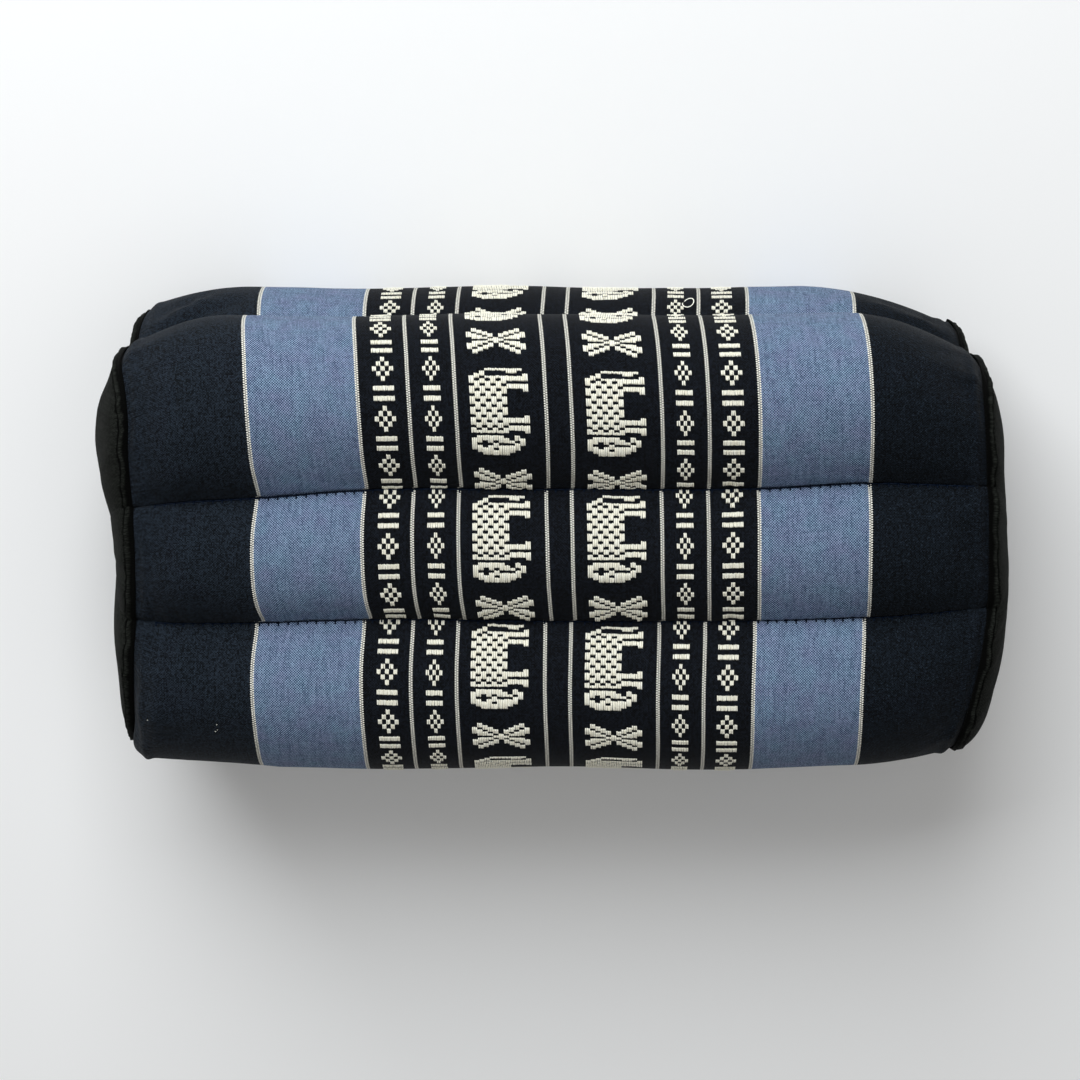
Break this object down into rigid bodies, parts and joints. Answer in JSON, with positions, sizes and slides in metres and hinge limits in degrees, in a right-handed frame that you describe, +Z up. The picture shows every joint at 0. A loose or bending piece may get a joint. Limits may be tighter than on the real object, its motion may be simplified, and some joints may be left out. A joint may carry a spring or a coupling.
{
  "type": "yoga block cushion",
  "caption": "Firm rectangular block cushion: a woven patterned wrap filled in sewn lengthwise channels, closed by plain domed end panels.",
  "frame": {"origin": "middle of the overall box, on the floor under the flattened back", "axes": "+X along the block, +Y across the printed face towards its upper long side, +Z up out of the printed face"},
  "size_m": [0.3581, 0.1814, 0.1208],
  "materials": {
    "wrap_cloth": "matt woven cotton",
    "panel_cloth": "matt plain woven cotton"
  },
  "bodies": {
    "root": {"cushion_body": "wrap_cloth", "end_panel_left": "panel_cloth", "end_panel_right": "panel_cloth"}
  },
  "joints": []
}
